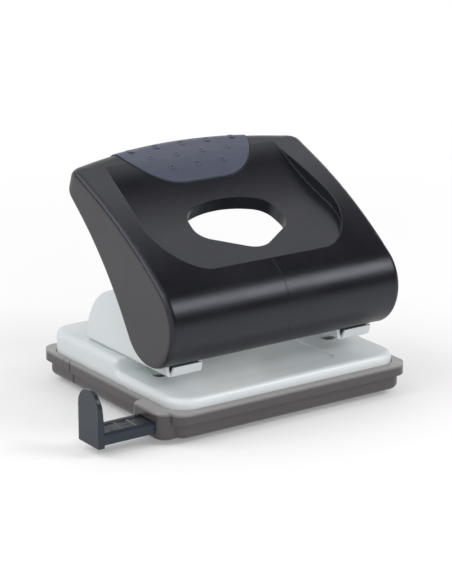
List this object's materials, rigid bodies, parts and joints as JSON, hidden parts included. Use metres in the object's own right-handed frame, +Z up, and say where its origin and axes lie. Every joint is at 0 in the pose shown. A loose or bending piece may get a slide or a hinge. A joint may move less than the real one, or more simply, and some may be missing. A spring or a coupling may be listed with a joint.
{
  "type": "two-hole lever punch",
  "caption": "Manual desk paper punch: padded lever handle over a steel bed with two spring-back punch pins, a clip-off chip tray and a sliding paper guide.",
  "frame": {"origin": "on the table, under the tray's middle foot and midway between the punched holes", "axes": "+X along the row of holes (right as seen from the paper side), +Y to the rear, +Z up"},
  "size_m": [0.1375, 0.1, 0.0938],
  "materials": {
    "plated_steel": "satin plated sheet",
    "rivet_steel": "plated",
    "bright_steel": "ground",
    "spring_steel": "drawn wire and stamped clip",
    "pressed_steel": "plated pressing",
    "bush_brass": "turned",
    "nylon": "natural nylon",
    "charcoal_plastic": "fine spark texture with a metallic fleck",
    "grey_plastic": "fine texture",
    "soft_grip": "soft touch",
    "smoke_plastic": "smoke-clear",
    "guide_plastic": "satin"
  },
  "bodies": {
    "base": {"base_plate": "plated_steel", "left_bracket": "plated_steel", "right_bracket": "plated_steel", "bracket_rivets": "rivet_steel", "left_guide_bush": "bush_brass", "right_guide_bush": "bush_brass", "pivot_axle": "bright_steel", "axle_clips": "spring_steel", "axle_spacers": "nylon"},
    "handle": {"handle_cover": "charcoal_plastic", "left_side_panel": "grey_plastic", "right_side_panel": "grey_plastic", "grip_pad": "soft_grip", "lever_frame": "pressed_steel", "lever_screws": "rivet_steel"},
    "left_pin": {"left_punch_pin": "bright_steel", "left_spring_washer": "rivet_steel", "left_pin_clip": "spring_steel", "left_return_spring": "spring_steel"},
    "right_pin": {"right_punch_pin": "bright_steel", "right_spring_washer": "rivet_steel", "right_pin_clip": "spring_steel", "right_return_spring": "spring_steel"},
    "tray": {"chip_tray": "smoke_plastic"},
    "guide": {"paper_guide": "guide_plastic"}
  },
  "joints": [
    {"name": "handle_pivot", "type": "hinge", "parent": "base", "child": "handle", "pos_m": [0, -0.029, 0.042], "axis": [-1, 0, 0], "range_deg": [0, 36]},
    {"name": "left_pin_slide", "type": "slide", "parent": "base", "child": "left_pin", "axis": [0, 0, -1], "range_m": [0, 0.0082], "stiffness_N_per_m": 500, "springref_m": -0.006, "deforming": ["left_return_spring"]},
    {"name": "right_pin_slide", "type": "slide", "parent": "base", "child": "right_pin", "axis": [0, 0, -1], "range_m": [0, 0.0082], "stiffness_N_per_m": 500, "springref_m": -0.006, "deforming": ["right_return_spring"]},
    {"name": "tray_release", "type": "slide", "parent": "base", "child": "tray", "axis": [0, 0, -1], "range_m": [0, 0.025]},
    {"name": "guide_slide", "type": "slide", "parent": "tray", "child": "guide", "axis": [-1, 0, 0], "range_m": [-0.02, 0.07]}
  ],
  "couplings": [
    {"joint": "left_pin_slide", "follows": "handle_pivot", "m_per_rad": 0.013},
    {"joint": "right_pin_slide", "follows": "handle_pivot", "m_per_rad": 0.013}
  ]
}
